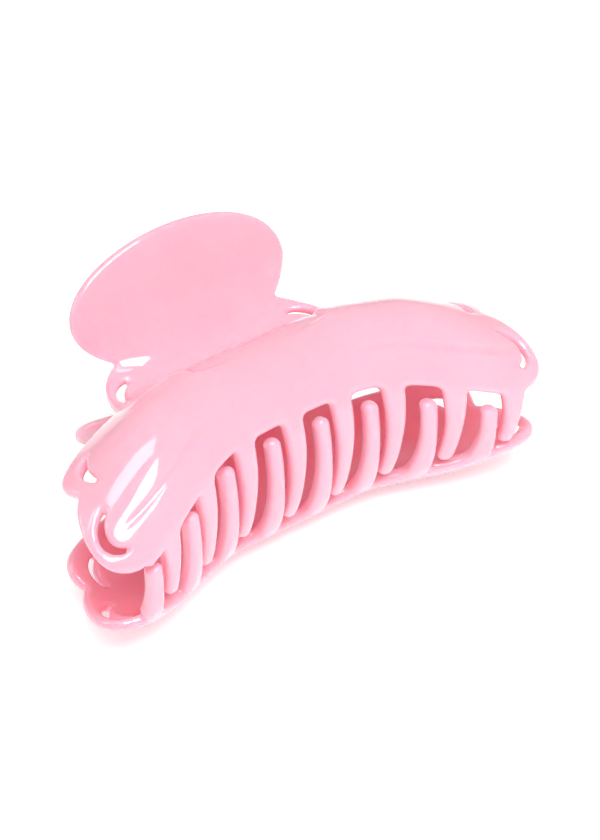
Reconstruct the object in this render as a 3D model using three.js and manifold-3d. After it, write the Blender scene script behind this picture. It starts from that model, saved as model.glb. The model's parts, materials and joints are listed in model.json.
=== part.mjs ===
// A large claw clip for hair. Two identical moulded jaws face each other across a mid-plane and are
// joined by a steel pin. A torsion spring round the pin holds the teeth shut.
// Millimetres. +X runs along the clip, +Y points to the thumb plates, +Z is up in the lying pose.

import * as THREE from 'three';
import { mergeVertices } from 'three/addons/utils/BufferGeometryUtils.js';
import { TessellateModifier } from 'three/addons/modifiers/TessellateModifier.js';
import Module from 'manifold-3d';

const wasm = await Module();
wasm.setup();

// ---- driving dimensions -------------------------------------------------------------------------

const WALL = 2.2;                  // moulded wall of a jaw
const CREST_HEIGHT = 20.6;         // control height of the crest above the mid-plane
const REACH = 46;                  // distance from the middle at which the ends are measured
const BODY_SWEEP = 10;             // how far the body has come forward at REACH
const SWEEP_START = 12;            // distance from the middle where it starts to come forward
const FRONT_DROOP = 0.39;          // share of the front's height that is lost at REACH
const DROOP_POWER = 3.4;           // how late along the clip the front loses it
const BACK_DROOP = 0.5;            // share of the back's height that is lost at BACK_DROOP_END
const BACK_DROOP_START = 28;
const BACK_DROOP_END = 54;
const VALLEY_RISE = 1.3;           // how much higher the valley floor is at VALLEY_REACH
const VALLEY_REACH = 22;
const PLATE_HALF = 24;             // half width of the thumb plate
const PLATE_CURL_BACK = 2.4;       // how far the plate's side edges curl back
const PLATE_CURL_DOWN = 1.5;       // and down

// The rounded edges of the flat outline: oval centre, radii and the stretch of arc in degrees.
const PLATE = { x: 0, s: 14.6, rx: 24.4, rs: 13.4, from: 90, to: -38 };       // thumb plate
const LOBE_A = { x: 14, s: -5.3, rx: 11.6, rs: 12, from: 63, to: -33 };       // at the neck
const LOBE_B = { x: 31, s: -20.2, rx: 15.8, rs: 9.6, from: 113, to: -25 };    // in the middle
const LOBE_C = { x: 42.6, s: -33.2, rx: 7.4, rs: 10.8, from: 66, to: -88 };   // at the end

const SLOT_WIDTH = 1.5;            // widest part of the crescent slot beside each lobe's rim
const SLOT_A = { x: 18, s: -3.5, r: 4.8, from: 80, to: -5 };
const SLOT_B = { x: 37.5, s: -21.5, r: 5, from: 60, to: -25 };
const SLOT_C = { x: 42.3, s: -33.8, r: 5, from: 62, to: -60 };
const GAP_TOP = -39.8;             // where the gaps between the teeth start, at the middle
const GAP_BOW = 5;                 // how much further out they start 40 mm along
const TIP_LINE = -63.5;            // where the teeth end, at the middle
const TIP_BOW = 5;                 // how much shorter the teeth are 38 mm along
const TIP_SLOPE = 0.035;           // slope of the row of tips, which follows the lean

const TEETH = 8;
const TOOTH_PITCH = 11;
const TOOTH_RADIUS = 1.9;
const TOOTH_LEAN = 2.3;            // sideways travel of a tooth from root to tip
const TOOTH_OFFSET = 4.1;          // how far the row of roots sits to the right of the middle
const TOOTH_BITE = 2.5;            // how far a tooth runs up into the wall above the gaps
const ROOT_FLARE = 0.08;           // extra width of a tooth at its root, as a share
const TIP_TAPER = 0.17;            // width lost at its tip, as a share

const HINGE_Y = 9.5;
const KNUCKLE_RADIUS = 3;
const KNUCKLE_WIDTH = 2;
const KNUCKLE_OUTER = 7.5;         // inner face of the outer knuckle from the middle
const KNUCKLE_INNER = 5;           // inner face of the inner knuckle from the middle
const KNUCKLE_ROOF = 5.2;          // where a knuckle meets the valley
const KNUCKLE_LEAN = 1;            // height at which its front face leaves the round
const PIN_RADIUS = 1;
const PIN_CLEARANCE = 0.06;
const HEAD_RADIUS = 1.8;
const HEAD_HEIGHT = 1;
const END_RADIUS = 1.5;
const END_HEIGHT = 0.8;
const EDGE = 0.4;                  // bevel on the ends of the pin
const GAP = 0.35;                  // clearance kept between neighbouring pieces

const WIRE_RADIUS = 0.55;
const COIL_RADIUS = 2.35;
const COIL_TURNS = 4.5;
const COIL_HALF = 2.9;             // half the length of the coil
const LEG_GAP = 0.2;               // clearance between a leg and the last turn

const REST_TILT = 9;               // the clip lies on its lower plate tip and its belly, in degrees

const FACET = 11;                  // longest facet along the clip
const STRETCH = 1.8;               // facets are this much shorter round the section
const FACET_PASSES = 24;
const ARC_STEP = 11;               // degrees between the points of a rounded edge

const PINK = 0xffb9c6;
const STEEL = 0xb9bcc0;

// ---- the form: a smooth surface that both jaws are bent to --------------------------------------

// Control points of the cross-section at the middle, from the tooth tips over the crest and the
// valley to the tip of the thumb plate. Each is [y, z].
const SECTION = [
  [-16.5, -20], [-21.5, -13.5], [-24.4, -6.5], [-25.4, 1], [-24.8, 8.5], [-21.3, 15.5],
  [-13.5, CREST_HEIGHT], [-4.5, 19.2], [1, 10.5], [5.5, 5.2], [10.5, 4.4],
  [14.3, 7], [17.4, 11.8], [20.4, 16.6], [23.4, 21.5], [26.4, 26.3], [29.4, 31.1],
];
const SPANS = SECTION.length - 3;

const ramp = (from, to, value) => {
  const t = Math.min(Math.max((value - from) / (to - from), 0), 1);
  return t * t * (3 - 2 * t);
};
const share = (value) => Math.min(Math.max(value, 0), 1);

// The control points where one stretch of the cross-section goes over into the next.
const BACK_START = 5;              // the back of the body starts here
const SOFT_SWEEP = 6;              // from here on the body comes a quarter less far forward
const VALLEY = 9.5;
const PLATE_START = 10;
const CHANGE = 2;                  // each goes over within this many control points
const VALLEY_WIDTH = 1.2;

// Control point i of the cross-section at distance x from the middle.
function control(i, x) {
  const far = Math.abs(x);
  const body = share((PLATE_START + 0.5 - i) / CHANGE);
  const plate = share((i - PLATE_START) / CHANGE) * (Math.min(far / PLATE_HALF, 1.25)) ** 2;
  const valley = Math.exp(-(((i - VALLEY) / VALLEY_WIDTH) ** 2));
  const rise = VALLEY_RISE * valley * (Math.min(far / VALLEY_REACH, 1.2)) ** 2;
  const back = share((i - BACK_START) / CHANGE);
  const frontDroop = FRONT_DROOP * (far / REACH) ** DROOP_POWER;
  const backDroop = BACK_DROOP * ramp(BACK_DROOP_START, BACK_DROOP_END, far);
  const droop = 1 - (frontDroop * (1 - back) + backDroop * back) * share(VALLEY - i);
  const sweep = BODY_SWEEP * (1 - 0.25 * share((i - SOFT_SWEEP) / CHANGE));
  const y = SECTION[i][0] - sweep * ramp(SWEEP_START, REACH, far) * body + PLATE_CURL_BACK * plate;
  const z = SECTION[i][1] * droop + rise - PLATE_CURL_DOWN * plate;
  return [y, z];
}

// The cross-section is a cubic B-spline, so the surface has no kinks.
function section(x, v) {
  const i = Math.min(Math.max(Math.floor(v), 0), SPANS - 1);
  const t = v - i;
  const weights = [
    (1 - t) ** 3 / 6,
    (3 * t ** 3 - 6 * t ** 2 + 4) / 6,
    (-3 * t ** 3 + 3 * t ** 2 + 3 * t + 1) / 6,
    t ** 3 / 6,
  ];
  const point = [0, 0];
  weights.forEach((weight, k) => {
    const [y, z] = control(i + k, x);
    point[0] += weight * y;
    point[1] += weight * z;
  });
  return point;
}

// Distances along the middle section, measured from the point above the hinge.
const STEPS = 600;
const lengths = [0];
let hingeLength = 0;
for (let k = 1; k <= STEPS; k += 1) {
  const before = section(0, ((k - 1) / STEPS) * SPANS);
  const here = section(0, (k / STEPS) * SPANS);
  lengths.push(lengths[k - 1] + Math.hypot(here[0] - before[0], here[1] - before[1]));
  if (here[0] < HINGE_Y) hingeLength = lengths[k];
}

function spanAt(s) {
  const wanted = s + hingeLength;
  let k = 1;
  while (k < STEPS && lengths[k] < wanted) k += 1;
  const t = (wanted - lengths[k - 1]) / (lengths[k] - lengths[k - 1]);
  return ((k - 1 + t) / STEPS) * SPANS;
}

function onForm(x, s) {
  const [y, z] = section(x, spanAt(s));
  return new THREE.Vector3(x, y, z);
}

// Bends a flat piece to the form: x stays along the clip, y becomes the distance along the
// section, z becomes the height above the middle of the wall.
function bend(geometry) {
  const position = geometry.attributes.position;
  const step = 0.05;
  for (let k = 0; k < position.count; k += 1) {
    const x = position.getX(k);
    const s = position.getY(k);
    const along = onForm(x, s + step).sub(onForm(x, s - step));
    const across = onForm(x + step, s).sub(onForm(x - step, s));
    const normal = across.cross(along).normalize();
    const point = onForm(x, s).addScaledVector(normal, position.getZ(k));
    position.setXYZ(k, point.x, point.y, point.z);
  }
  return geometry;
}

// ---- solids -------------------------------------------------------------------------------------

function weld(geometry) {
  geometry.deleteAttribute('normal');
  geometry.deleteAttribute('uv');
  return mergeVertices(geometry, 1e-4);
}

function toSolid(geometry) {
  const welded = weld(geometry);
  return new wasm.Manifold(new wasm.Mesh({
    numProp: 3,
    vertProperties: new Float32Array(welded.attributes.position.array),
    triVerts: new Uint32Array(welded.index.array),
  }));
}

function toGeometry(solid) {
  const mesh = solid.getMesh();
  const geometry = new THREE.BufferGeometry();
  geometry.setAttribute('position', new THREE.BufferAttribute(mesh.vertProperties, 3));
  geometry.setIndex(new THREE.BufferAttribute(mesh.triVerts, 1));
  return geometry;
}

// ---- a jaw --------------------------------------------------------------------------------------

const radians = THREE.MathUtils.degToRad;
// The line along the tops of the tooth gaps.
const gapTop = (x) => GAP_TOP - GAP_BOW * (x / 40) ** 2;

// The right half of the flat outline: plate, neck, three lobes, then the row of gap tops.
function halfOutline() {
  const points = [];
  [PLATE, LOBE_A, LOBE_B, LOBE_C].forEach(({ x, s, rx, rs, from, to }) => {
    const steps = Math.round((from - to) / ARC_STEP);
    for (let k = 0; k <= steps; k += 1) {
      const angle = radians(from + ((to - from) * k) / steps);
      points.push(new THREE.Vector2(x + rx * Math.cos(angle), s + rs * Math.sin(angle)));
    }
  });
  const reach = points[points.length - 1].x;
  const steps = 14;
  for (let k = 1; k < steps; k += 1) {
    const x = reach * (1 - k / steps);
    points.push(new THREE.Vector2(x, gapTop(x)));
  }
  return points;
}

// A slot that follows an arc and narrows to both ends.
function crescent({ x, s, r, from, to }, side) {
  const points = [];
  const steps = 5;
  for (let k = 0; k <= steps; k += 1) {
    const angle = radians(from + ((to - from) * k) / steps);
    const half = (SLOT_WIDTH / 2) * Math.sin((Math.PI * (k + 0.7)) / (steps + 1.4)) ** 0.5;
    const at = (radius) => new THREE.Vector2(
      side * (x + radius * Math.cos(angle)),
      s + radius * Math.sin(angle),
    );
    points.unshift(at(r - half));
    points.push(at(r + half));
  }
  const path = new THREE.Path();
  path.setFromPoints(points);
  return path;
}

function shell() {
  const right = halfOutline();
  const left = right.filter((p) => p.x > 0.01).map((p) => new THREE.Vector2(-p.x, p.y)).reverse();
  const outline = new THREE.Shape([...right, ...left].reverse());
  [SLOT_A, SLOT_B, SLOT_C].forEach((slot) => {
    outline.holes.push(crescent(slot, 1), crescent(slot, -1));
  });
  const slab = new THREE.ExtrudeGeometry(outline, { depth: WALL, bevelEnabled: false });
  slab.translate(0, 0, -WALL / 2);
  slab.scale(1, STRETCH, 1);
  const fine = new TessellateModifier(FACET, FACET_PASSES).modify(slab);
  fine.scale(1, 1 / STRETCH, 1);
  return toSolid(bend(weld(fine)));
}

// The line along the tips of the teeth.
const toothTip = (x) => TIP_LINE + TIP_BOW * (x / 38) ** 2 - TIP_SLOPE * x;

// Tooth number 0 to 7, from left to right: a round-ended bar that leans to the left.
function tooth(number) {
  const root = TOOTH_PITCH * (number + 0.5 - TEETH / 2) + TOOTH_OFFSET;
  const top = gapTop(root) + TOOTH_BITE;
  const length = top - toothTip(root - TOOTH_LEAN);
  const bar = new THREE.CapsuleGeometry(TOOTH_RADIUS, length, 2, 10, 5);
  bar.translate(0, top - length / 2, 0);
  const position = bar.attributes.position;
  const sink = TOOTH_RADIUS - WALL / 2;
  for (let k = 0; k < position.count; k += 1) {
    const down = (top - position.getY(k)) / length;
    const girth = 1 + ROOT_FLARE * (1 - ramp(0, 0.6, down)) - TIP_TAPER * ramp(0.3, 0.9, down);
    position.setX(k, root + position.getX(k) * girth - TOOTH_LEAN * down);
    position.setZ(k, position.getZ(k) - sink);
  }
  return toSolid(bend(weld(bar)));
}

// A lug under the valley that the pin passes through. Its inner face is at x.
function knuckle(x) {
  const lug = new THREE.Shape();
  lug.moveTo(HINGE_Y - KNUCKLE_RADIUS - 1, KNUCKLE_ROOF);
  lug.lineTo(HINGE_Y - KNUCKLE_RADIUS, KNUCKLE_LEAN);
  lug.absarc(HINGE_Y, 0, KNUCKLE_RADIUS, Math.PI, 2 * Math.PI, false);
  lug.lineTo(HINGE_Y + KNUCKLE_RADIUS + 0.2, KNUCKLE_ROOF);
  const bore = new THREE.Path();
  bore.absarc(HINGE_Y, 0, PIN_RADIUS + PIN_CLEARANCE, 0, 2 * Math.PI, true);
  lug.holes.push(bore);
  const depth = KNUCKLE_WIDTH;
  const slice = new THREE.ExtrudeGeometry(lug, { depth, bevelEnabled: false, curveSegments: 10 });
  slice.rotateX(Math.PI / 2);
  slice.rotateZ(Math.PI / 2);
  slice.translate(x, 0, 0);
  return toSolid(slice);
}

function jaw() {
  let solid = shell();
  for (let number = 0; number < TEETH; number += 1) solid = solid.add(tooth(number));
  solid = solid.add(knuckle(KNUCKLE_INNER));
  solid = solid.add(knuckle(-KNUCKLE_OUTER - KNUCKLE_WIDTH));
  return toGeometry(solid);
}

// ---- hinge pin ----------------------------------------------------------------------------------

// A straight pin with a low closed end on the left and a wider head on the right.
function hingePin() {
  const end = KNUCKLE_OUTER + KNUCKLE_WIDTH + GAP;
  const profile = [
    [0, -end - END_HEIGHT], [END_RADIUS - EDGE, -end - END_HEIGHT],
    [END_RADIUS, EDGE - end - END_HEIGHT], [END_RADIUS, -end], [PIN_RADIUS, -end],
    [PIN_RADIUS, end], [HEAD_RADIUS, end], [HEAD_RADIUS, end + HEAD_HEIGHT - EDGE],
    [HEAD_RADIUS - EDGE, end + HEAD_HEIGHT], [0, end + HEAD_HEIGHT],
  ];
  const pin = new THREE.LatheGeometry(profile.map(([r, h]) => new THREE.Vector2(r, h)), 20);
  pin.rotateZ(-Math.PI / 2);
  pin.translate(0, HINGE_Y, 0);
  return weld(pin);
}

// ---- torsion spring -----------------------------------------------------------------------------

const LEG_X = COIL_HALF + 2 * WIRE_RADIUS + LEG_GAP;

function wire(points, steps) {
  const round = new THREE.Shape();
  round.absarc(0, 0, WIRE_RADIUS, 0, 2 * Math.PI, false);
  const path = new THREE.CatmullRomCurve3(points, false, 'centripetal');
  return weld(new THREE.ExtrudeGeometry(round, { steps, extrudePath: path, curveSegments: 4 }));
}

// The leg that presses on the inside of the upper plate; side -1 mirrors it to the lower one.
function legPoints(side) {
  const route = [[HINGE_Y + 1, 2.4], [12.6, 2.7], [15.9, 5.8], [19.3, 10.6], [21.9, 14.4]];
  return route.map(([y, z]) => new THREE.Vector3(side * LEG_X, y, side * z));
}

function springCoil() {
  const points = legPoints(-1).reverse();
  const steps = COIL_TURNS * 8;
  for (let k = 0; k <= steps; k += 1) {
    const angle = -Math.PI / 2 - (2 * Math.PI * COIL_TURNS * k) / steps;
    points.push(new THREE.Vector3(
      COIL_HALF * ((2 * k) / steps - 1),
      HINGE_Y + COIL_RADIUS * Math.cos(angle),
      COIL_RADIUS * Math.sin(angle),
    ));
  }
  return wire(points, 76);
}

function springLeg() {
  return wire(legPoints(1), 8);
}

// ---- assembly -----------------------------------------------------------------------------------

const plastic = () => new THREE.MeshStandardMaterial({ color: PINK, roughness: 0.12, metalness: 0 });
const steel = () => new THREE.MeshStandardMaterial({ color: STEEL, roughness: 0.3, metalness: 1 });

function piece(name, geometry, material) {
  const mesh = new THREE.Mesh(geometry, material);
  mesh.name = name;
  return mesh;
}

const clip = new THREE.Group();
clip.add(piece('upper_jaw', jaw(), plastic()));
const lowerJaw = piece('lower_jaw', jaw(), plastic());
lowerJaw.rotation.y = Math.PI;
clip.add(lowerJaw);
clip.add(piece('hinge_pin', hingePin(), steel()));
clip.add(piece('spring_coil', springCoil(), steel()));
clip.add(piece('spring_leg', springLeg(), steel()));

// Lay the clip down, then put the origin under the middle of its box.
clip.rotation.x = radians(REST_TILT);
clip.updateMatrixWorld(true);
const box = new THREE.Box3().setFromObject(clip, true);
const middle = box.getCenter(new THREE.Vector3());
clip.position.set(-middle.x, -middle.y, -box.min.z);
clip.updateMatrixWorld(true);

export default clip;
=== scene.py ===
# %% [markdown]
# # A claw clip, from flat blanks to a sprung clip
#
# A claw clip is four pieces: two identical plastic jaws, a steel pin and a torsion spring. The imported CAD
# model gives where they sit and how they turn. This lesson makes the surface that a hand and an eye meet:
# rounded rims, soft creases between the lobes, round-ended teeth, glossy plastic and bright wire.

# %% Load the frame
import json
import math

import bmesh
import bpy
import numpy as np
from mathutils import Matrix, Quaternion, Vector


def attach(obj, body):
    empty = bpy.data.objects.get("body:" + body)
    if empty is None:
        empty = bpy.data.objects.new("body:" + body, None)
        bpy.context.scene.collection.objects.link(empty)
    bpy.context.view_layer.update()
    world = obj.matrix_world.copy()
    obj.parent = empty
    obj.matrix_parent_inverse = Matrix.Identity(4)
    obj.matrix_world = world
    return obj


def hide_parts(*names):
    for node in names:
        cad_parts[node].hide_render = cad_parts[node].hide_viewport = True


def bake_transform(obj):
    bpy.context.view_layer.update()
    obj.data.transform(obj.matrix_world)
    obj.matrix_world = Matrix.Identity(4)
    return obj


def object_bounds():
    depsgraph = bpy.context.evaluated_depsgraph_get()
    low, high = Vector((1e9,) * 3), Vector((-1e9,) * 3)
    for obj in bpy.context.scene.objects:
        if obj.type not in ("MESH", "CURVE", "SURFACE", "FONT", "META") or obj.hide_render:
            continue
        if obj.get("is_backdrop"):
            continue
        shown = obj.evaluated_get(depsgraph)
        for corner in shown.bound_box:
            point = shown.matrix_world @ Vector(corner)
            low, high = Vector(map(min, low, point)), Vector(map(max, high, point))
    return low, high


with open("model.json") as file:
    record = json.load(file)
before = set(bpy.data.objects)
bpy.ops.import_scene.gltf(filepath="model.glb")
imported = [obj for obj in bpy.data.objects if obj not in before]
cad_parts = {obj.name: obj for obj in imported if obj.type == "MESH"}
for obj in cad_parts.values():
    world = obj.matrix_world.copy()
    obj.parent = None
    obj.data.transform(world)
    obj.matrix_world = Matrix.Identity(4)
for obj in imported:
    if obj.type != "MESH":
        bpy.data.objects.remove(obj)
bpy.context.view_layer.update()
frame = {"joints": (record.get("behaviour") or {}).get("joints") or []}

# %% [markdown]
# ## Two frames
#
# The clip lies tilted, on its lower plate tip and its belly. A jaw is easier to think about when the plane
# between the jaws is level, so the jaws are made in a level frame in millimetres, with the hinge pin along X.
# One matrix then lays the clip down. The pin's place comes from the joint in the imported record.

# %% Hinge and resting tilt
MM = 0.001
HINGE_Y = 9.5                      # the pin, in the level frame
REST_TILT = math.radians(9)
hinge = Vector(frame["joints"][0]["pos_m"])

to_metres = Matrix.Scale(MM, 4)
to_hinge = Matrix.Translation((0, -HINGE_Y, 0))
lay_down = Matrix.Translation(hinge) @ Matrix.Rotation(REST_TILT, 4, "X") @ to_metres @ to_hinge
half_turn = Matrix.Rotation(math.pi, 4, "Y")
print("hinge at", [round(value / MM, 2) for value in hinge])

# %% [markdown]
# ## Camera, floor and light first
#
# A glossy piece is mostly a picture of its lights, so they are placed before the piece is judged. The
# camera is a long lens that looks down on the clip from the teeth's left. The studio looks white all round
# but lights the clip less than it shows, so that the gaps stay deep. A large key light gives the shade and
# is hidden from reflections. Two near boxes give only reflections: they draw the bright double strip on
# the end lobe. A far one behind the plate's left draws the thin line on its rim. Standard colour keeps the
# floor white and the pink clean.

# %% Camera
AIM = Vector((0.0068, -0.0088, 0.0208))
CAMERA_AZIMUTH = math.radians(31.32)
CAMERA_ELEVATION = math.radians(35.20)
CAMERA_ROLL = math.radians(-5.16)
CAMERA_DISTANCE = 0.5329

forward = Vector((
    math.sin(CAMERA_AZIMUTH) * math.cos(CAMERA_ELEVATION),
    math.cos(CAMERA_AZIMUTH) * math.cos(CAMERA_ELEVATION),
    -math.sin(CAMERA_ELEVATION),
))
camera_data = bpy.data.cameras.new("camera")
camera_data.lens = 117.56
camera_data.sensor_width = 36
camera_data.clip_start = 0.05
camera_data.clip_end = 20
camera = bpy.data.objects.new("camera", camera_data)
camera.rotation_mode = "QUATERNION"
camera.location = AIM - forward * CAMERA_DISTANCE
camera.rotation_quaternion = forward.to_track_quat("-Z", "Y") @ Quaternion((0, 0, 1), CAMERA_ROLL)
bpy.context.scene.collection.objects.link(camera)
bpy.context.scene.camera = camera
print("camera at", [round(value, 3) for value in camera.location])

# %% Floor and white studio
SKY_AS_LIGHT = 0.5
SKY_AS_SEEN = 1.05
FLOOR_GLOW = 0.3

scene = bpy.context.scene
scene.view_settings.view_transform = "Standard"
world = bpy.data.worlds.new("studio")
world.use_nodes = True
sky_nodes = world.node_tree
sky = sky_nodes.nodes["Background"]
sky.inputs["Color"].default_value = (1, 0.985, 0.98, 1)
seen = sky_nodes.nodes.new("ShaderNodeLightPath")
level = sky_nodes.nodes.new("ShaderNodeMapRange")
level.inputs["To Min"].default_value = SKY_AS_LIGHT
level.inputs["To Max"].default_value = SKY_AS_SEEN
sky_nodes.links.new(seen.outputs["Is Camera Ray"], level.inputs["Value"])
sky_nodes.links.new(level.outputs["Result"], sky.inputs["Strength"])
scene.world = world

floor_mesh = bpy.data.meshes.new("floor")
shape = bmesh.new()
bmesh.ops.create_grid(shape, x_segments=1, y_segments=1, size=3)
shape.to_mesh(floor_mesh)
shape.free()
floor = bpy.data.objects.new("floor", floor_mesh)
scene.collection.objects.link(floor)
floor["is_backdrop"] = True
paper = bpy.data.materials.new("white_paper")
paper.use_nodes = True
paper_shader = paper.node_tree.nodes["Principled BSDF"]
paper_shader.inputs["Base Color"].default_value = (0.85, 0.94, 0.92, 1)
paper_shader.inputs["Roughness"].default_value = 0.9
paper_shader.inputs["Emission Color"].default_value = (0.97, 1, 0.99, 1)
paper_shader.inputs["Emission Strength"].default_value = FLOOR_GLOW
floor_mesh.materials.append(paper)
print("floor made")


# %% Soft boxes
def soft_box(name, azimuth, elevation, distance, width, height, brightness, tilt=0):
    """A rectangular light that looks at the clip. Azimuth 0 is in front of the teeth, 90 on the right."""
    light = bpy.data.lights.new(name, "AREA")
    light.shape = "RECTANGLE"
    light.size = width
    light.size_y = height
    light.energy = brightness * math.pi * width * height
    lamp = bpy.data.objects.new(name, light)
    turn = math.radians(azimuth)
    rise = math.radians(elevation)
    away = Vector((math.sin(turn) * math.cos(rise), -math.cos(turn) * math.cos(rise), math.sin(rise)))
    lamp.location = AIM + away * distance
    lamp.rotation_mode = "QUATERNION"
    facing = (-away).to_track_quat("-Z", "Y")
    lamp.rotation_quaternion = facing @ Quaternion((0, 0, 1), math.radians(tilt))
    lamp.visible_camera = False
    scene.collection.objects.link(lamp)
    return lamp


def reflection_box(*place, **size):
    """A soft box that is seen in gloss but gives no shade."""
    lamp = soft_box(*place, **size)
    lamp.visible_diffuse = False


key = soft_box("key", -10, 60, distance=0.9, width=0.9, height=0.5, brightness=6.6)
key.visible_glossy = False
reflection_box("strip", -26, 61, distance=0.285, width=0.205, height=0.11, brightness=14, tilt=20)
reflection_box("top_box", -107, 75, distance=0.296, width=0.22, height=0.07, brightness=6, tilt=84)
reflection_box("rim_light", -125, 25, distance=0.9, width=0.3, height=0.3, brightness=5)

# %% [markdown]
# ## The form that both jaws are bent to
#
# A jaw is a curved shell with holes, lobes and teeth. Drawn straight in space it is hard to keep smooth.
# Flat, it is a plain outline. So the jaw is made flat, in x along the clip, s along the section and w above
# the middle of the wall, and a smooth surface tells where each flat point goes. The surface is a cubic
# B-spline section whose control points shift with the distance from the middle: the ends come forward and
# lie lower. The points run from the tooth tips over the crest to the end of the thumb plate.

# %% Driving sizes of the form, in millimetres
WALL = 2.2
REACH = 46
SECTION = np.array([
    (-16.5, -20), (-21.5, -13.5), (-24.4, -6.5), (-25.4, 1), (-24.8, 8.5), (-21.3, 15.5),
    (-13.5, 20.6), (-4.5, 19.2), (1, 10.5), (5.5, 5.2), (10.5, 4.4),
    (14.3, 7), (17.4, 11.8), (20.4, 16.6), (23.4, 21.5), (26.4, 26.3), (29.4, 31.1),
])
SPANS = len(SECTION) - 3
SWEEP = 10                         # how far the ends of the body come forward
SWEEP_START = 12                   # distance from the middle where that starts
FRONT_DROOP = 0.39                 # share of its height that the front loses at its ends
FRONT_DROOP_POWER = 3.4
BACK_DROOP = 0.5                   # the same behind the crest, where it starts later
BACK_DROOP_START = 28
BACK_DROOP_END = 54
VALLEY_RISE = 1.3                  # how far the valley rises towards the sides of the neck
VALLEY_REACH = 22
PLATE_HALF = 24                    # half width over which the plate curls
PLATE_CURL_BACK = 2.4
PLATE_CURL_DOWN = 1.5


def ramp(start, end, value):
    share = np.clip((value - start) / (end - start), 0, 1)
    return share * share * (3 - 2 * share)


def control(i, x):
    """Control point i of the section at distance x from the middle of the clip."""
    far = np.abs(x)
    body = np.clip((10.5 - i) / 2, 0, 1)
    plate = np.clip((i - 10) / 2, 0, 1) * np.minimum(far / PLATE_HALF, 1.25) ** 2
    in_valley = np.exp(-(((i - 9.5) / 1.2) ** 2))
    rise = VALLEY_RISE * in_valley * np.minimum(far / VALLEY_REACH, 1.2) ** 2
    back = np.clip((i - 5) / 2, 0, 1)
    front_droop = FRONT_DROOP * (far / REACH) ** FRONT_DROOP_POWER
    back_droop = BACK_DROOP * ramp(BACK_DROOP_START, BACK_DROOP_END, far)
    droop = 1 - (front_droop * (1 - back) + back_droop * back) * np.clip(9.5 - i, 0, 1)
    sweep = SWEEP * (1 - 0.25 * np.clip((i - 6) / 2, 0, 1))
    y = SECTION[i, 0] - sweep * ramp(SWEEP_START, REACH, far) * body + PLATE_CURL_BACK * plate
    z = SECTION[i, 1] * droop + rise - PLATE_CURL_DOWN * plate
    return y, z


def section(x, v):
    """Point on the section at distance x, where v counts spans from the tooth tips."""
    i = np.clip(np.floor(v).astype(int), 0, SPANS - 1)
    t = v - i
    weights = [(1 - t) ** 3, 3 * t ** 3 - 6 * t ** 2 + 4, -3 * t ** 3 + 3 * t ** 2 + 3 * t + 1, t ** 3]
    y = np.zeros_like(t)
    z = np.zeros_like(t)
    for k, weight in enumerate(weights):
        control_y, control_z = control(i + k, x)
        y += weight / 6 * control_y
        z += weight / 6 * control_z
    return y, z


print("section:", SPANS, "spans")

# %% Length along the section, measured from the point above the hinge
spans = np.linspace(0, SPANS, 601)
middle_y, middle_z = section(np.zeros_like(spans), spans)
steps = np.hypot(np.diff(middle_y), np.diff(middle_z))
lengths = np.concatenate(([0], np.cumsum(steps)))
lengths -= lengths[middle_y < HINGE_Y].max()


def on_form(x, s):
    y, z = section(x, np.interp(s, lengths, spans))
    return np.stack((x, y, z), axis=1)


def bend(flat):
    """Bends flat points (x, s, w) to the form."""
    x, s, w = flat.T
    step = 0.05
    along = on_form(x, s + step) - on_form(x, s - step)
    across = on_form(x + step, s) - on_form(x - step, s)
    normal = np.cross(across, along)
    normal /= np.linalg.norm(normal, axis=1, keepdims=True)
    return on_form(x, s) + normal * w[:, None]


print("section length in mm:", round(lengths[-1] - lengths[0], 1))

# %% [markdown]
# ## The flat jaw as a distance
#
# The real outline is a handful of ovals: an oval thumb plate and three lobes a side, like feathers, with
# a crescent slot in each lobe and a comb of round teeth. A signed distance describes all of it in a few
# lines: it is negative inside, zero on the rim and positive outside. Two distances join with a soft fillet,
# which is what a mould-maker's cutter leaves between two lobes.

# %% Outline sizes
PLATE = dict(x=0, s=14.6, rx=24.4, rs=13.4)
LOBE_A = dict(x=14, s=-5.3, rx=11.6, rs=12)
LOBE_B = dict(x=31, s=-20.2, rx=15.8, rs=9.6)
LOBE_C = dict(x=42.6, s=-33.2, rx=7.4, rs=10.8)
SLOTS = [
    dict(x=18, s=-3.5, r=4.8, start=80, end=-5),
    dict(x=37.5, s=-21.5, r=5, start=60, end=-25),
    dict(x=42.3, s=-33.8, r=5, start=62, end=-60),
]
SLOT_WIDTH = 1.5
TEETH = 8
TOOTH_PITCH = 11
TOOTH_LEAN = 1.0                   # how far a tip lies to the left of its root
TOOTH_OFFSET = 2.9                 # how far the row of roots is moved to the right
ROOT_HALF = 2.25                   # half width of a tooth where it leaves the wall
TIP_HALF = 1.58                    # half width at its round tip
TOOTH_DEEP = 2.4                   # how far the inside of a tooth lies below the middle of the wall
FILLET = 1.1                       # between two lobes
TOOTH_FILLET = 1.6                 # between a tooth and the wall
GAP_TOP = -39.8                    # where the gaps between the teeth start, at the middle
GAP_BOW = 5                        # how much lower that is at x = 40
TOOTH_BITE = 2.5                   # how far a tooth's root lies inside the wall
TIP_LINE = -63.5                   # centre of a tip's round end, at the middle
TIP_BOW = 5                        # how far the tips rise towards the body at x = 38
TIP_SLOPE = 0.035                  # how much lower a tip lies for each mm to the right
BODY_END = 12                      # where the body's slab ends under the plate
BODY_SIDE = np.array([             # s and half width of the slab that the ovals and teeth join
    (-45, 43), (-33, 40), (-20, 36), (-10, 20), (0, 18), (6, 16), (12, 14),
])


def body_side(s):
    return np.interp(s, BODY_SIDE[:, 0], BODY_SIDE[:, 1])


def gap_top(x):
    return GAP_TOP - GAP_BOW * (x / 40) ** 2


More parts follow.
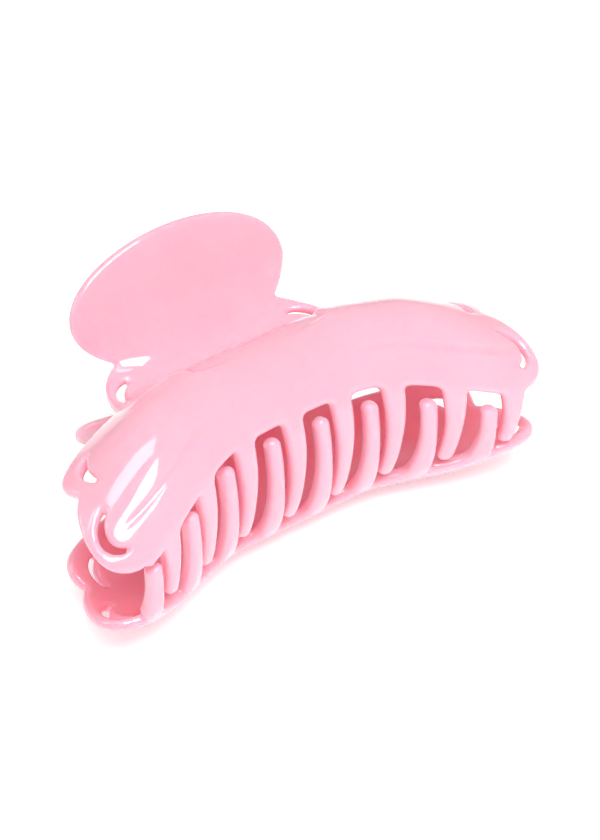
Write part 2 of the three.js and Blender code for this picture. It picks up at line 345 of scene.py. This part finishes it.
def tooth_line(number):
    """Root and tip of a tooth, as x and s. The tip is the centre of its round end."""
    root = TOOTH_PITCH * (number + 0.5 - TEETH / 2) + TOOTH_OFFSET
    tip = root - TOOTH_LEAN
    tip_s = TIP_LINE + TIP_BOW * (tip / 38) ** 2 - TIP_SLOPE * tip
    return (root, gap_top(root) + TOOTH_BITE), (tip, tip_s)


print("tooth roots at x =", [round(tooth_line(n)[0][0], 1) for n in range(TEETH)])


# %% Distances
def soft_join(a, b, fillet):
    """The nearer of two distances, with a fillet where they meet."""
    blend = np.clip(0.5 + 0.5 * (b - a) / fillet, 0, 1)
    return b + (a - b) * blend - fillet * blend * (1 - blend)


def oval(x, s, shape):
    """Distance to an oval and its mirror image on the other side."""
    px = (np.abs(x) - shape["x"]) / shape["rx"]
    ps = (s - shape["s"]) / shape["rs"]
    level = px * px + ps * ps - 1
    slope = 2 * np.hypot(px / shape["rx"], ps / shape["rs"])
    return level / np.maximum(slope, 0.02)


def bar(x, s, number):
    """Distance to a tooth, a bar that tapers from its root to its round tip."""
    (root_x, root_s), (tip_x, tip_s) = tooth_line(number)
    run_x = tip_x - root_x
    run_s = tip_s - root_s
    down = np.clip(((x - root_x) * run_x + (s - root_s) * run_s) / (run_x ** 2 + run_s ** 2), 0, 1)
    half = TIP_HALF + (ROOT_HALF - TIP_HALF) * (1 - ramp(0, 0.75, down))
    return np.hypot(x - root_x - run_x * down, s - root_s - run_s * down) - half


def crescent(x, s, slot):
    """Distance to a crescent slot, an arc that is widest halfway."""
    px = np.abs(x) - slot["x"]
    ps = s - slot["s"]
    start = math.radians(slot["start"])
    end = math.radians(slot["end"])
    angle = np.clip(np.arctan2(ps, px), end, start)
    share = (angle - end) / (start - end)
    half = SLOT_WIDTH / 2 * np.sin(math.pi * (0.1 + 0.8 * share)) ** 0.5
    return np.hypot(px - slot["r"] * np.cos(angle), ps - slot["r"] * np.sin(angle)) - half


def outline(x, s):
    """Distance to the rim of the flat jaw in the plane: negative on plastic."""
    body = np.maximum(np.maximum(np.abs(x) - body_side(s), s - BODY_END), gap_top(x) - s)
    rim = oval(x, s, PLATE)
    for lobe in (LOBE_A, LOBE_B, LOBE_C):
        rim = soft_join(rim, oval(x, s, lobe), FILLET)
    rim = np.minimum(rim, body)
    for number in range(TEETH):
        rim = soft_join(rim, bar(x, s, number), TOOTH_FILLET)
    for slot in SLOTS:
        rim = np.maximum(rim, -crescent(x, s, slot))
    return rim


print("rim distance at the middle:", round(float(outline(np.zeros(1), np.zeros(1))[0]), 2))


# %% [markdown]
# ## From a rough blank to a smooth one
#
# The rough blank is quick: scaled discs, a slab and tapered bars that overlap, with the crescents cut out
# and everything fused by a voxel remesh. That gives an even net of small faces, but soft, slightly wavy
# rims. A sculptor would now rub the rims true. Here each point is pressed onto the distance's zero surface,
# which rounds the rims and the teeth and leaves the faces smooth, so that gloss doesn't show any ripple.

# %% Rough solids
def add_oval(mesh, shape, side, height):
    made = bmesh.ops.create_cone(
        mesh, cap_ends=True, segments=72, radius1=1, radius2=1, depth=height,
    )
    bmesh.ops.scale(mesh, verts=made["verts"], vec=(shape["rx"], shape["rs"], 1))
    bmesh.ops.translate(mesh, verts=made["verts"], vec=(side * shape["x"], shape["s"], 0))


def add_slab(mesh, height):
    made = bmesh.ops.create_grid(mesh, x_segments=24, y_segments=8, size=1)
    for vert in made["verts"]:
        share = (vert.co.y + 1) / 2
        x = vert.co.x * float(body_side(-40 + (BODY_END + 40) * share))
        low = gap_top(x)
        vert.co = (x, low + (BODY_END - low) * share, -height / 2)
    lifted = bmesh.ops.extrude_face_region(mesh, geom=mesh.faces[:])
    top = [item for item in lifted["geom"] if isinstance(item, bmesh.types.BMVert)]
    bmesh.ops.translate(mesh, verts=top, vec=(0, 0, height))


def add_tooth(mesh, number):
    """A straight bar to the tip and a flared one along the tooth, both stretched to its depth."""
    (root_x, root_s), (tip_x, tip_s) = tooth_line(number)
    lean = math.atan2(tip_x - root_x, root_s - tip_s)
    length = math.hypot(tip_x - root_x, tip_s - root_s)
    deep = TOOTH_DEEP + WALL / 2
    for radius, top in ((TIP_HALF, TIP_HALF), (ROOT_HALF, 0)):
        made = bmesh.ops.create_cone(
            mesh, cap_ends=True, segments=20, radius1=TIP_HALF, radius2=radius, depth=length + top,
        )
        verts = made["verts"]
        bmesh.ops.rotate(mesh, verts=verts, matrix=Matrix.Rotation(-math.pi / 2, 3, "X"))
        for vert in verts:
            vert.co.y = -vert.co.y
            vert.co.z *= deep / (2 * TIP_HALF)
        bmesh.ops.translate(mesh, verts=verts, vec=(0, -(length + top) / 2, 0))
        bmesh.ops.rotate(mesh, verts=verts, matrix=Matrix.Rotation(lean, 3, "Z"))
        bmesh.ops.translate(mesh, verts=verts, vec=(root_x, root_s, (WALL / 2 - TOOTH_DEEP) / 2))


def add_cutter(mesh, slot, side):
    """A crescent: a square section spun about the slot's centre and capped at both ends."""
    before = set(mesh.verts)
    ring = bmesh.ops.create_circle(mesh, cap_ends=False, segments=4, radius=1)["verts"]
    bmesh.ops.rotate(mesh, verts=ring, matrix=Matrix.Rotation(math.pi / 4, 3, "Z"))
    bmesh.ops.scale(mesh, verts=ring, vec=(SLOT_WIDTH * 0.7, 4, 1))
    bmesh.ops.rotate(mesh, verts=ring, matrix=Matrix.Rotation(math.pi / 2, 3, "X"))
    bmesh.ops.translate(mesh, verts=ring, vec=(slot["r"], 0, 0))
    bmesh.ops.rotate(mesh, verts=ring, matrix=Matrix.Rotation(math.radians(slot["end"]), 3, "Z"))
    edges = list({edge for vert in ring for edge in vert.link_edges})
    bmesh.ops.contextual_create(mesh, geom=edges)
    swept = bmesh.ops.spin(
        mesh, geom=edges, cent=(0, 0, 0), axis=(0, 0, 1),
        angle=math.radians(slot["start"] - slot["end"]), steps=16, use_duplicate=False,
    )
    last = [item for item in swept["geom_last"] if isinstance(item, bmesh.types.BMEdge)]
    bmesh.ops.contextual_create(mesh, geom=last)
    made = [vert for vert in mesh.verts if vert not in before]
    bmesh.ops.translate(mesh, verts=made, vec=(slot["x"], slot["s"], 0))
    bmesh.ops.scale(mesh, verts=made, vec=(side, 1, 1))


rough = bmesh.new()
add_slab(rough, WALL)
for side in (1, -1):
    for lobe in (LOBE_A, LOBE_B, LOBE_C):
        add_oval(rough, lobe, side, WALL)
add_oval(rough, PLATE, 1, WALL)
for number in range(TEETH):
    add_tooth(rough, number)
bmesh.ops.recalc_face_normals(rough, faces=rough.faces[:])
print("rough solids:", len(rough.faces), "faces")


# %% Fuse, cut the crescents, fuse again
VOXEL = 0.38


def to_object(name, shape):
    mesh = bpy.data.meshes.new(name)
    shape.to_mesh(mesh)
    shape.free()
    made = bpy.data.objects.new(name, mesh)
    scene.collection.objects.link(made)
    return made


def apply_modifiers(made):
    graph = bpy.context.evaluated_depsgraph_get()
    mesh = bpy.data.meshes.new_from_object(made.evaluated_get(graph))
    made.modifiers.clear()
    made.data = mesh
    return made


def fuse(made, voxel):
    remesh = made.modifiers.new("fuse", "REMESH")
    remesh.mode = "VOXEL"
    remesh.voxel_size = voxel
    return apply_modifiers(made)


def combine(made, tool, operation):
    cut = made.modifiers.new(operation.lower(), "BOOLEAN")
    cut.operation = operation
    cut.solver = "EXACT"
    cut.object = tool
    apply_modifiers(made)
    bpy.data.objects.remove(tool)
    return made


blank = fuse(to_object("jaw_blank", rough), VOXEL)
cutters = bmesh.new()
for slot in SLOTS:
    add_cutter(cutters, slot, 1)
    add_cutter(cutters, slot, -1)
bmesh.ops.recalc_face_normals(cutters, faces=cutters.faces[:])
combine(blank, to_object("crescent_cutters", cutters), "DIFFERENCE")
fuse(blank, VOXEL)
print("blank:", len(blank.data.vertices), "points")


# %% Press the points onto the true rounded surface
RIM_ROUNDING = 0.95                # radius of the rims
TOOTH_ROUNDING = 0.5               # how much rounder the teeth are than the rims


def jaw_distance(points):
    x, s, w = points.T
    rim = outline(x, s)
    comb = 1 - ramp(-1.5, 2.5, s - gap_top(x))
    top = WALL / 2
    bottom = -WALL / 2 - (TOOTH_DEEP - WALL / 2) * comb
    rounding = RIM_ROUNDING + TOOTH_ROUNDING * comb
    half = (top - bottom) / 2
    a = rim + rounding
    b = np.abs(w - (top + bottom) / 2) - half + rounding
    return np.minimum(np.maximum(a, b), 0) + np.hypot(np.maximum(a, 0), np.maximum(b, 0)) - rounding


def press(points, distance, rounds):
    """Moves each point along the distance's slope until the distance is zero."""
    step = 0.02
    for _ in range(rounds):
        level = distance(points)
        slope = np.empty_like(points)
        for axis in range(3):
            ahead = points.copy()
            ahead[:, axis] += step
            slope[:, axis] = (distance(ahead) - level) / step
        steep = np.maximum((slope ** 2).sum(axis=1), 0.3)
        move = -(level / steep)[:, None] * slope
        size = np.linalg.norm(move, axis=1, keepdims=True)
        points = points + move * np.minimum(1, 0.4 / np.maximum(size, 1e-9))
    return points


def read_points(mesh):
    flat = np.empty(3 * len(mesh.vertices))
    mesh.vertices.foreach_get("co", flat)
    return flat.reshape(-1, 3)


def write_points(mesh, points):
    mesh.vertices.foreach_set("co", points.astype(np.float32).ravel())
    mesh.update()


points = press(read_points(blank.data), jaw_distance, 6)
print("largest distance left in mm:", round(float(np.abs(jaw_distance(points)).max()), 3))


# %% [markdown]
# ## Feather creases
#
# The lobes are drawn like feathers that overlap. The middle lobe stands a little proud of the small one at
# the neck, and a soft groove runs from the end lobe into the body and fades out. Both are low, but on gloss
# they are what splits the highlights. The neck is crowned: thick over the knuckles, thin at its sides. All
# of it is a height on the outside only, so the inside of the wall stays plain and clears the other jaw.

# %% Heights of the creases
STEP_HEIGHT = 0.5
STEP_LINE = -25.2                  # the middle lobe's edge at the middle of the clip
STEP_BOW = 0.0085
GROOVE_LINE = -33
GROOVE_WAVE = 1.6
GROOVE_DEPTH = 0.34
GROOVE_HALF = 0.8
NECK_CROWN = 0.6                   # the neck is thicker in the middle, over the knuckles
NECK_THIN = 1.35                   # and falls away by this much to its side edges


def lobe_step(x, s, far):
    """The middle lobe over the neck's one. The step fades out before the middle and before the teeth."""
    edge = soft_join(oval(x, s, LOBE_B), s - (STEP_LINE + STEP_BOW * far ** 2), 3)
    over = 1 - ramp(-0.8, 0.8, edge)
    height = STEP_HEIGHT * over * np.exp(np.minimum(edge, 0) / 7)
    height -= STEP_HEIGHT * (1 - over) * np.exp(-np.maximum(edge, 0) / 3)
    return height * ramp(3, 16, far) * ramp(-34, -22, s) * (1 - ramp(-14, -6, s))


def end_groove(s, far):
    """The groove between the middle and end lobes, deepest near the end lobe and gone at the middle."""
    line = GROOVE_LINE - GROOVE_WAVE * np.sin((far - 20) / 12) * ramp(20, 30, far)
    reach = ramp(8, 32, far) * (1 - ramp(41, 44.5, far))
    return -GROOVE_DEPTH * reach * np.exp(-((s - line) / GROOVE_HALF) ** 2)


def neck_crown(s, far):
    """The crown of the neck, between the neck's lobe and the thumb plate."""
    crown = NECK_CROWN - NECK_THIN * np.clip((far - 8) / 11, 0, 1.1) ** 2
    return crown * ramp(0, 5, s) * (1 - ramp(7, 14, s))


def creases(points):
    x, s, w = points.T
    far = np.abs(x)
    height = lobe_step(x, s, far) + end_groove(s, far) + neck_crown(s, far)
    return height * ramp(-0.2, 0.8, w)


print("lobe step", STEP_HEIGHT, "mm, groove", GROOVE_DEPTH, "mm")

# %% Bend the blank and put the knuckles under the valley
KNUCKLES = (5, -9.5)               # x of the left face of each knuckle
KNUCKLE_WIDTH = 2
KNUCKLE_RADIUS = 3
KNUCKLE_ROOF = 5.2
ROOF_BACK = 0.2                    # how far the roof reaches behind the round end
ROOF_FRONT = 1                     # and in front of it
BORE_RADIUS = 1.06


def add_knuckle(x):
    """A lug with a round lower end, drawn as a half disc, closed at its roof and pulled along X."""
    lug = bmesh.new()
    start = lug.verts.new((0, HINGE_Y - KNUCKLE_RADIUS, 0))
    swept = bmesh.ops.spin(
        lug, geom=[start], cent=(0, HINGE_Y, 0), axis=(1, 0, 0), angle=math.pi, steps=24,
    )
    roof_back = lug.verts.new((0, HINGE_Y + KNUCKLE_RADIUS + ROOF_BACK, KNUCKLE_ROOF))
    roof_front = lug.verts.new((0, HINGE_Y - KNUCKLE_RADIUS - ROOF_FRONT, KNUCKLE_ROOF))
    last = [item for item in swept["geom_last"] if isinstance(item, bmesh.types.BMVert)][0]
    lug.edges.new((last, roof_back))
    lug.edges.new((roof_back, roof_front))
    lug.edges.new((roof_front, start))
    face = bmesh.ops.contextual_create(lug, geom=lug.edges[:])["faces"]
    pulled = bmesh.ops.extrude_face_region(lug, geom=face)
    moved = [item for item in pulled["geom"] if isinstance(item, bmesh.types.BMVert)]
    bmesh.ops.translate(lug, verts=moved, vec=(KNUCKLE_WIDTH, 0, 0))
    bmesh.ops.translate(lug, verts=lug.verts[:], vec=(x, 0, 0))
    bmesh.ops.recalc_face_normals(lug, faces=lug.faces[:])
    return to_object("knuckle", lug)


def add_bore(x):
    bore = bmesh.new()
    bmesh.ops.create_cone(
        bore, cap_ends=True, segments=48, radius1=BORE_RADIUS, radius2=BORE_RADIUS, depth=2 * KNUCKLE_WIDTH,
    )
    bmesh.ops.rotate(bore, verts=bore.verts[:], matrix=Matrix.Rotation(math.pi / 2, 3, "Y"))
    bmesh.ops.translate(bore, verts=bore.verts[:], vec=(x + KNUCKLE_WIDTH / 2, HINGE_Y, 0))
    return to_object("bore", bore)


points[:, 2] += creases(points)
write_points(blank.data, bend(points))
for x in KNUCKLES:
    knuckle = combine(add_knuckle(x), add_bore(x), "DIFFERENCE")
    combine(blank, knuckle, "UNION")
print("jaw:", len(blank.data.polygons), "faces")

# %% [markdown]
# ## Plastic
#
# The pink is a thick, glossy moulding plastic. Light enters it and comes out redder, which is why the deep
# gaps glow red rather than grey. A subsurface with a long red reach does that. The surface itself is nearly
# a mirror, but never perfectly so: colour clouds faintly where the melt flowed, and polish varies by a few
# percent. That flow pattern is one node group, and it gives a shade, a roughness and a height.

# %% Node helpers
def add_node(tree, kind, **settings):
    node = tree.nodes.new(kind)
    for name, value in settings.items():
        if hasattr(node, name):
            setattr(node, name, value)
        else:
            node.inputs[name].default_value = value
    return node


def new_group(name, inputs, outputs):
    group = bpy.data.node_groups.new(name, "ShaderNodeTree")
    group.interface.new_socket("Vector", in_out="INPUT", socket_type="NodeSocketVector")
    for socket, value in inputs.items():
        made = group.interface.new_socket(socket, in_out="INPUT", socket_type="NodeSocketFloat")
        made.default_value = value
    for socket in outputs:
        group.interface.new_socket(socket, in_out="OUTPUT", socket_type="NodeSocketFloat")
    return group, group.nodes.new("NodeGroupInput"), group.nodes.new("NodeGroupOutput")


def scaled_noise(group, start, scale_socket, detail):
    """Noise on the group's vector, with its scale read from an input of the group."""
    noise = add_node(group, "ShaderNodeTexNoise", Detail=detail)
    group.links.new(start.outputs["Vector"], noise.inputs["Vector"])
    group.links.new(start.outputs[scale_socket], noise.inputs["Scale"])
    return noise.outputs["Fac"]


def map_range(group, value, low, high):
    """Turns noise between 0.3 and 0.7 into low to high. Both may be sockets of the group's input."""
    node = add_node(group, "ShaderNodeMapRange")
    node.inputs["From Min"].default_value = 0.3
    node.inputs["From Max"].default_value = 0.7
    group.links.new(value, node.inputs["Value"])
    for socket, end in (("To Min", low), ("To Max", high)):
        if isinstance(end, bpy.types.NodeSocket):
            group.links.new(end, node.inputs[socket])
        else:
            node.inputs[socket].default_value = end
    return node.outputs["Result"]


print("node helpers ready")

# %% Flow pattern of a surface
surface_inputs = {"Cloud Scale": 30, "Grain Scale": 900, "Roughest": 0.16, "Smoothest": 0.08}
surface, start, end = new_group("made_surface", surface_inputs, ("Shade", "Roughness", "Height"))
clouds = scaled_noise(surface, start, "Cloud Scale", 3)
grain = scaled_noise(surface, start, "Grain Scale", 2)
surface.links.new(map_range(surface, clouds, 0, 1), end.inputs["Shade"])
polish = map_range(surface, grain, start.outputs["Smoothest"], start.outputs["Roughest"])
surface.links.new(polish, end.inputs["Roughness"])
heights = add_node(surface, "ShaderNodeMath", operation="MULTIPLY_ADD")
heights.inputs[1].default_value = 0.35
surface.links.new(grain, heights.inputs[0])
surface.links.new(clouds, heights.inputs[2])
surface.links.new(heights.outputs["Value"], end.inputs["Height"])
print("group", surface.name, "has", len(surface.nodes), "nodes")


# %% Materials from that pattern
def made_material(name, light, dark, pattern, stretch, bump, **constants):
    """A surface whose colour runs from dark to light with the pattern's shade."""
    made = bpy.data.materials.new(name)
    made.use_nodes = True
    tree = made.node_tree
    shader = tree.nodes["Principled BSDF"]
    place = add_node(tree, "ShaderNodeTexCoord")
    mapping = add_node(tree, "ShaderNodeMapping")
    mapping.inputs["Scale"].default_value = stretch
    group = add_node(tree, "ShaderNodeGroup", node_tree=surface)
    for socket, value in pattern.items():
        group.inputs[socket].default_value = value
    mix = add_node(tree, "ShaderNodeMix", data_type="RGBA")
    mix.inputs["A"].default_value = dark
    mix.inputs["B"].default_value = light
    relief = add_node(tree, "ShaderNodeBump", Strength=bump, Distance=0.0001)
    tree.links.new(place.outputs["Object"], mapping.inputs["Vector"])
    tree.links.new(mapping.outputs["Vector"], group.inputs["Vector"])
    tree.links.new(group.outputs["Shade"], mix.inputs["Factor"])
    tree.links.new(mix.outputs["Result"], shader.inputs["Base Color"])
    tree.links.new(group.outputs["Roughness"], shader.inputs["Roughness"])
    tree.links.new(group.outputs["Height"], relief.inputs["Height"])
    tree.links.new(relief.outputs["Normal"], shader.inputs["Normal"])
    for socket, value in constants.items():
        shader.inputs[socket].default_value = value
    return made


pink = made_material(
    "glossy_pink_plastic", (1.0, 0.45, 0.545, 1), (0.985, 0.41, 0.505, 1),
    {"Cloud Scale": 26, "Grain Scale": 700, "Smoothest": 0.06, "Roughest": 0.11}, (1, 1, 1), 0.12,
    **{
        "Subsurface Weight": 0.9,
        "Subsurface Radius": (1.0, 0.08, 0.11),
        "Subsurface Scale": 0.014,
        "IOR": 1.5,
        "Coat Weight": 0.25,
        "Coat Roughness": 0.03,
    },
)
nickel = made_material(
    "nickel_plate", (0.76, 0.76, 0.74, 1), (0.62, 0.61, 0.58, 1),
    {"Cloud Scale": 220, "Grain Scale": 2600, "Smoothest": 0.14, "Roughest": 0.28}, (0.15, 1, 1), 0.2,
    Metallic=1.0,
)
spring_wire = made_material(
    "drawn_spring_wire", (0.6, 0.6, 0.6, 1), (0.4, 0.4, 0.42, 1),
    {"Cloud Scale": 300, "Grain Scale": 3800, "Smoothest": 0.22, "Roughest": 0.42}, (1, 0.3, 0.3), 0.35,
    Metallic=1.0,
)
print("materials:", pink.name, nickel.name, spring_wire.name)


# %% Lay the pieces down
def finish_piece(made, matrix, material):
    made.data.transform(matrix)
    for polygon in made.data.polygons:
        polygon.use_smooth = True
    made.data.set_sharp_from_angle(angle=math.radians(50))
    made.data.materials.clear()
    made.data.materials.append(material)
    print(made.name, "has", len(made.data.polygons), "faces")
    return made


lower = blank.copy()
lower.data = blank.data.copy()
scene.collection.objects.link(lower)
blank.name = "upper_jaw_moulding"
lower.name = "lower_jaw_moulding"
finish_piece(blank, lay_down, pink)
finish_piece(lower, lay_down @ half_turn, pink)
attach(blank, "upper")
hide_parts("upper_jaw")
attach(lower, "lower")
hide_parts("lower_jaw")

# %% [markdown]
# ## Hinge pin
#
# The pin is a plain steel rod, headed at one end and peened over at the other once it is through the
# knuckles. It is a turned shape, so half its outline is drawn once and spun round. A bevel breaks the sharp
# corners, which is what catches the light on a real pin.

# %% Spin the pin
PIN_END = 9.85                     # where the rod ends and a head starts
PIN_RADIUS = 1.0
HEAD_RADIUS = 1.8
HEAD_HEIGHT = 1.0
PEEN_RADIUS = 1.5
PEEN_HEIGHT = 0.8

profile = [
    (-PIN_END - PEEN_HEIGHT, 0), (-PIN_END - PEEN_HEIGHT, PEEN_RADIUS), (-PIN_END, PEEN_RADIUS),
    (-PIN_END, PIN_RADIUS), (PIN_END, PIN_RADIUS), (PIN_END, HEAD_RADIUS),
    (PIN_END + HEAD_HEIGHT, HEAD_RADIUS), (PIN_END + HEAD_HEIGHT, 0),
]
turned = bmesh.new()
ring = [turned.verts.new((x, HINGE_Y + radius, 0)) for x, radius in profile]
for first, second in zip(ring, ring[1:]):
    turned.edges.new((first, second))
bmesh.ops.spin(
    turned, geom=turned.verts[:] + turned.edges[:], cent=(0, HINGE_Y, 0), axis=(1, 0, 0),
    angle=2 * math.pi, steps=48, use_merge=True,
)
bmesh.ops.remove_doubles(turned, verts=turned.verts[:], dist=1e-4)
bmesh.ops.recalc_face_normals(turned, faces=turned.faces[:])
corners = [
    edge for edge in turned.edges
    if len(edge.link_faces) == 2 and edge.calc_face_angle() > 1
    and math.hypot(edge.verts[0].co.y - HINGE_Y, edge.verts[0].co.z) > PIN_RADIUS + 0.1
]
bmesh.ops.bevel(
    turned, geom=corners, offset=0.32, segments=4, profile=0.5, affect="EDGES", material=-1,
)
pin = finish_piece(to_object("hinge_pin_steel", turned), lay_down, nickel)
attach(pin, "lower")
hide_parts("hinge_pin")

# %% [markdown]
# ## Torsion spring
#
# The spring is one wire: a leg under the upper plate, four and a half turns round the pin, and a leg on the
# lower plate. A curve with a round bevel is the natural way to draw wire, and the curve is then made a mesh.

# %% Wind the spring
WIRE_RADIUS = 0.55
COIL_RADIUS = 2.35
COIL_TURNS = 4.5
COIL_HALF = 2.9
LEG_GAP = 0.2                      # between a leg and the last turn
LEG_X = COIL_HALF + 2 * WIRE_RADIUS + LEG_GAP
LEG_ROUTE = [(HINGE_Y + 1, 2.4), (12.6, 2.7), (15.9, 5.8), (19.3, 10.6), (21.9, 14.4)]
TURN_POINTS = 16

route = [(-LEG_X, y, -z) for y, z in reversed(LEG_ROUTE)]
count = round(COIL_TURNS * TURN_POINTS)
for k in range(count + 1):
    angle = -math.pi / 2 - 2 * math.pi * COIL_TURNS * k / count
    along = COIL_HALF * (2 * k / count - 1)
    route.append((along, HINGE_Y + COIL_RADIUS * math.cos(angle), COIL_RADIUS * math.sin(angle)))
route += [(LEG_X, y, z) for y, z in LEG_ROUTE]

wire = bpy.data.curves.new("torsion_spring_wire", "CURVE")
wire.dimensions = "3D"
wire.bevel_depth = WIRE_RADIUS
wire.bevel_resolution = 4
wire.use_fill_caps = True
wire.resolution_u = 5
spline = wire.splines.new("BEZIER")
spline.bezier_points.add(len(route) - 1)
for knot, place in zip(spline.bezier_points, route):
    knot.co = place
    knot.handle_left_type = "AUTO"
    knot.handle_right_type = "AUTO"
drawn = bpy.data.objects.new("wire_curve", wire)
scene.collection.objects.link(drawn)
bpy.context.view_layer.update()
wire_mesh = bpy.data.meshes.new_from_object(drawn.evaluated_get(bpy.context.evaluated_depsgraph_get()))
bpy.data.objects.remove(drawn)
spring = bpy.data.objects.new("torsion_spring", wire_mesh)
scene.collection.objects.link(spring)
finish_piece(spring, lay_down, spring_wire)
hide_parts("spring_coil", "spring_leg")
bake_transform(spring)

# %% [markdown]
# ## Rest the clip on the floor
#
# The belly of the lower jaw bulges a touch below the faceted model, so the floor drops to touch it.

# %% Finish
low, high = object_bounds()
floor.location.z = min(low[2], 0)
